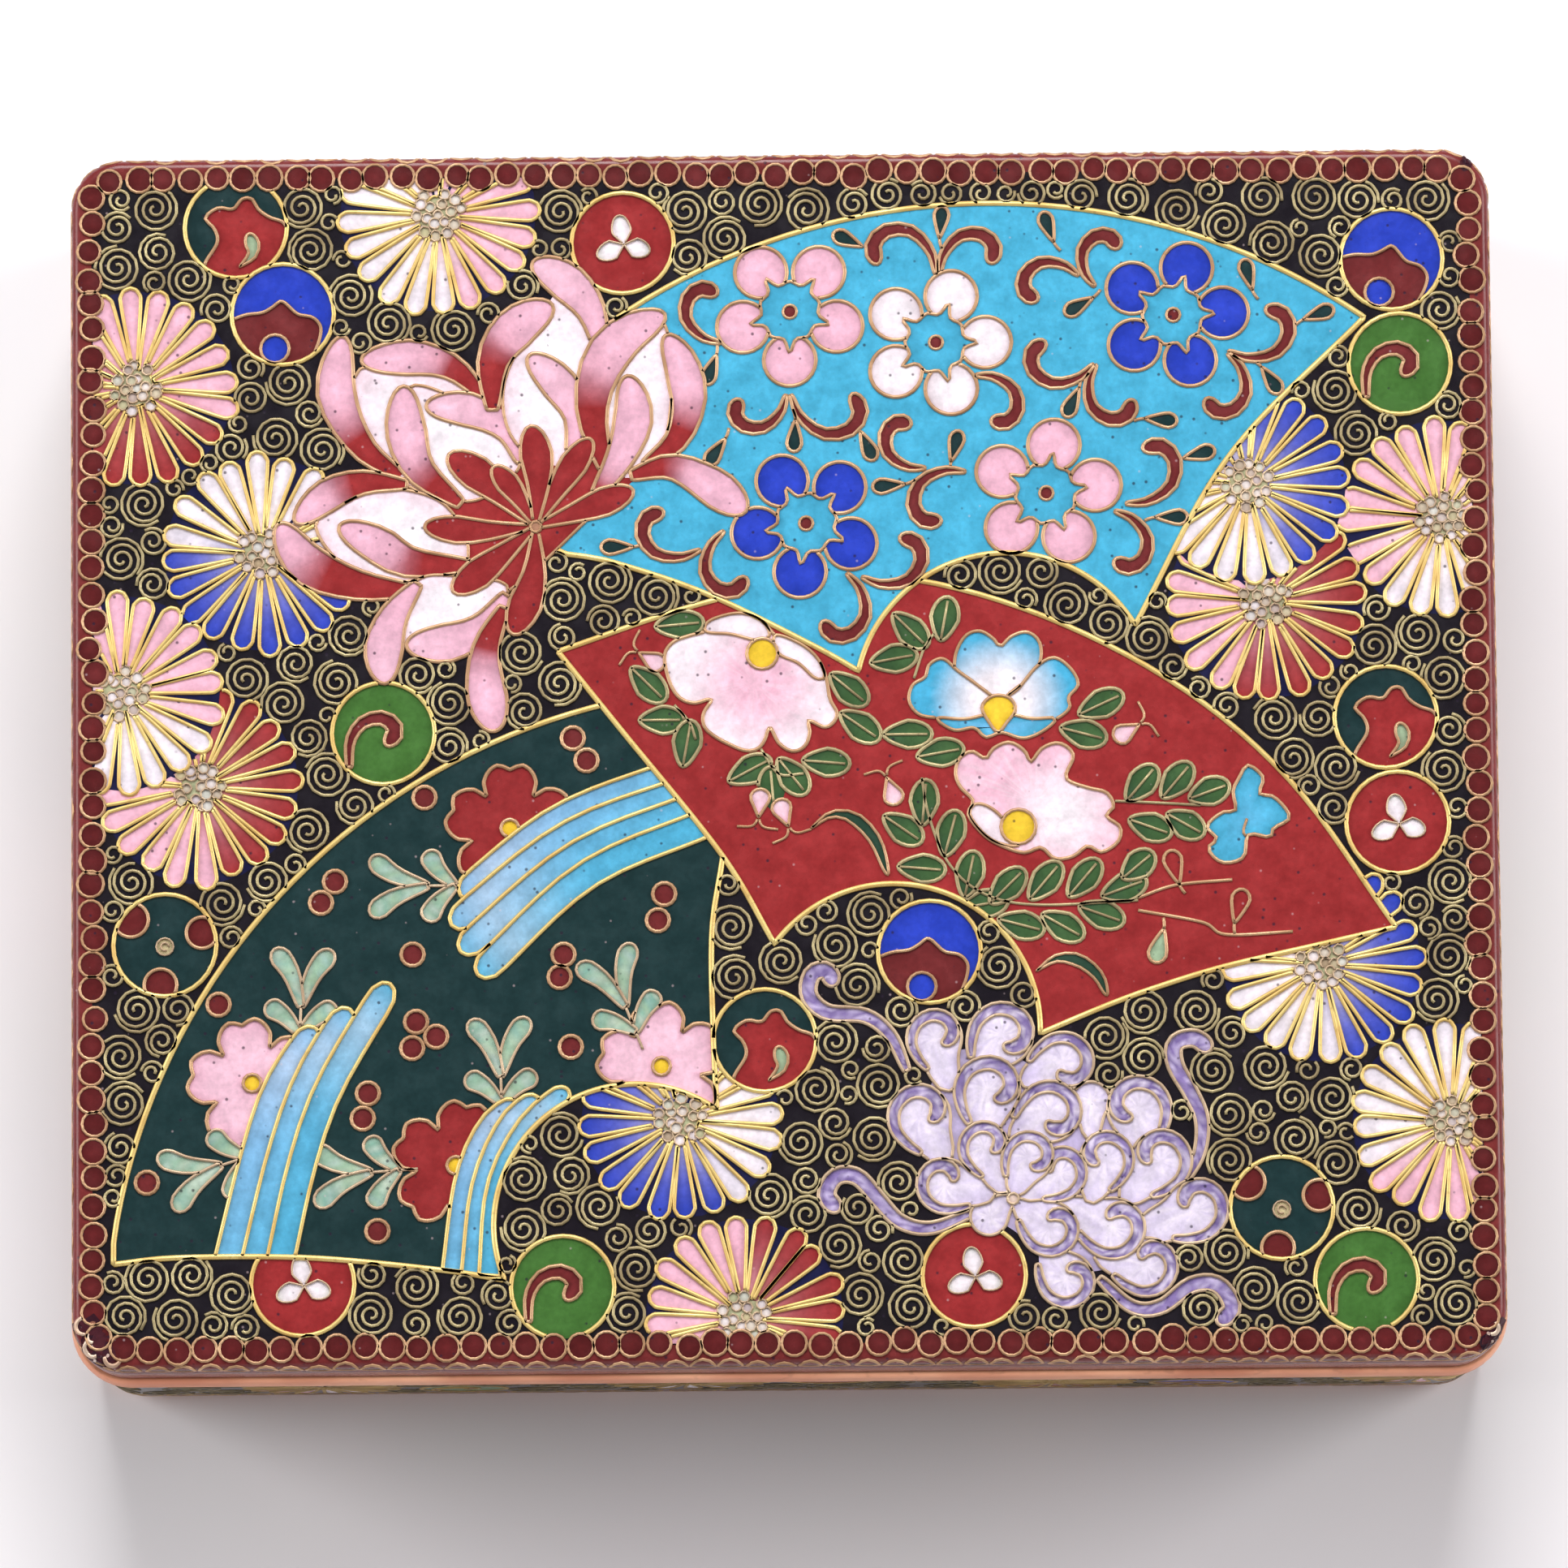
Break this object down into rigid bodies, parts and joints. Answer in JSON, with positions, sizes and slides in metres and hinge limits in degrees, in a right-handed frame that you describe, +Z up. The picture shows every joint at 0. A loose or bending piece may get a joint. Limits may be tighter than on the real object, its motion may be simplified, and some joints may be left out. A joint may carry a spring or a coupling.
{
  "type": "cloisonne enamel box",
  "caption": "Low rectangular box in cloisonne enamel with rounded corners, copper rim bands, a foot ring and a lift-off lid that drops over a collar. Hollow and empty.",
  "frame": {"origin": "on the table, under the middle of the box", "axes": "+X along the long side to the right, +Y to the back, +Z up"},
  "size_m": [0.115, 0.0984, 0.033],
  "materials": {
    "lid_enamel": "polished glass enamel between fine gilt wires, with small pits",
    "box_enamel": "polished glass enamel between fine gilt wires, plainer than the lid",
    "rim_copper": "satin gilt copper, worn pinkish"
  },
  "bodies": {
    "root": {"box": "box_enamel", "box_rim": "rim_copper", "lid_rim": "rim_copper", "lid": "lid_enamel"}
  },
  "joints": []
}
